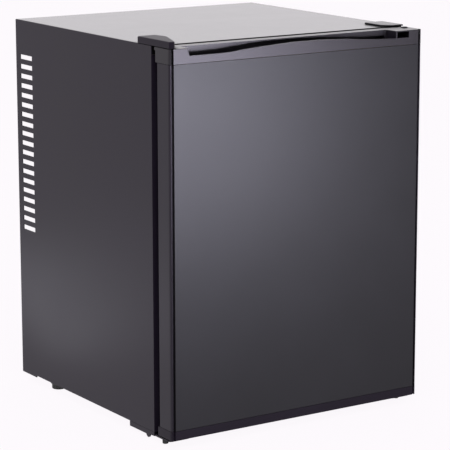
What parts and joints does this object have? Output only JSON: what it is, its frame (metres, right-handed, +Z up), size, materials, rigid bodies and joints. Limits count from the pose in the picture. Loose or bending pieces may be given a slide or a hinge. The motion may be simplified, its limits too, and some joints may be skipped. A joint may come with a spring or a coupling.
{
  "type": "minibar fridge",
  "caption": "Small black hotel minibar fridge with a left-hinged door, shelves, door bins and an open-backed absorption cooling unit.",
  "frame": {"origin": "on the floor, under the middle of the whole fridge's footprint", "axes": "+Z up, -Y out of the door, +X to the right as seen from the front"},
  "size_m": [0.42, 0.432, 0.5595],
  "materials": {
    "painted_steel": "fine semi-gloss black enamel",
    "top_steel": "semi-gloss black enamel",
    "door_steel": "satin black coating",
    "black_plastic": "satin moulded plastic",
    "hinge_plastic": "satin moulded plastic",
    "liner_plastic": "smooth off-white polystyrene",
    "rack_plastic": "smooth pale plastic",
    "shelf_wire": "white coated steel",
    "gasket_rubber": "matt black flexible seal",
    "foam_yellow": "rigid polyurethane foam",
    "zinc_steel": "zinc plated",
    "black_pipe": "black enamel on steel",
    "aluminium": "plain mill finish",
    "clear_lens": "frosted clear plastic",
    "foot_rubber": "matt black"
  },
  "bodies": {
    "cabinet": {"absorber_coil": "black_pipe", "absorber_vessel": "black_pipe", "back_panel": "painted_steel", "base_panel": "painted_steel", "boiler_case": "zinc_steel", "boiler_tube": "black_pipe", "bottom_hinge_bracket": "black_pipe", "bottom_hinge_pin": "zinc_steel", "condenser": "aluminium", "control_box": "black_plastic", "door_reed_sensor": "black_plastic", "drain_tube": "rack_plastic", "drip_tray": "rack_plastic", "evaporator": "aluminium", "front_frame": "black_plastic", "front_hinge_screw": "zinc_steel", "front_left_foot": "foot_rubber", "front_right_foot": "foot_rubber", "gas_heat_exchanger": "black_pipe", "heating_element": "zinc_steel", "inner_liner": "liner_plastic", "insulation_foam": "foam_yellow", "lamp_lens": "clear_lens", "left_bracket_screw": "zinc_steel", "left_hinge_cover": "hinge_plastic", "left_side_panel": "painted_steel", "lower_unit_bar": "zinc_steel", "mains_inlet_gland": "gasket_rubber", "rear_hinge_screw": "zinc_steel", "rear_left_foot": "foot_rubber", "rear_right_foot": "foot_rubber", "right_bracket_screw": "zinc_steel", "right_foot_bracket": "black_pipe", "right_hinge_cover": "hinge_plastic", "right_side_panel": "painted_steel", "thermostat_housing": "liner_plastic", "top_hinge_bracket": "zinc_steel", "top_hinge_pin": "zinc_steel", "top_panel": "top_steel", "upper_unit_bar": "zinc_steel"},
    "door": {"left_door_stile": "door_steel", "right_door_stile": "door_steel", "door_front_panel": "door_steel", "door_top_cap": "black_plastic", "door_bottom_cap": "black_plastic", "door_foam_core": "foam_yellow", "door_inner_liner": "liner_plastic", "door_gasket": "gasket_rubber", "upper_hinge_bush": "rack_plastic", "lower_hinge_bush": "rack_plastic", "door_hole_plug": "hinge_plastic"},
    "lower_shelf": {"lower_shelf": "shelf_wire"},
    "upper_shelf": {"upper_shelf": "shelf_wire"},
    "lower_rack": {"lower_door_rack": "rack_plastic"},
    "upper_rack": {"upper_door_rack": "rack_plastic"},
    "knob": {"thermostat_knob": "rack_plastic"}
  },
  "joints": [
    {"name": "door_hinge", "type": "hinge", "parent": "cabinet", "child": "door", "pos_m": [-0.2, -0.193, 0], "axis": [0, 0, 1], "range_deg": [-120, 0]},
    {"name": "lower_shelf_slide", "type": "slide", "parent": "cabinet", "child": "lower_shelf", "axis": [0, -1, 0], "range_m": [0, 0.018]},
    {"name": "upper_shelf_slide", "type": "slide", "parent": "cabinet", "child": "upper_shelf", "axis": [0, -1, 0], "range_m": [0, 0.018]},
    {"name": "lower_rack_lift", "type": "slide", "parent": "door", "child": "lower_rack", "axis": [0, 0, 1], "range_m": [0, 0.012]},
    {"name": "upper_rack_lift", "type": "slide", "parent": "door", "child": "upper_rack", "axis": [0, 0, 1], "range_m": [0, 0.012]},
    {"name": "thermostat_knob_turn", "type": "hinge", "parent": "cabinet", "child": "knob", "pos_m": [0.15, 0.02, 0.472], "axis": [-1, 0, 0], "range_deg": [0, 270]}
  ]
}
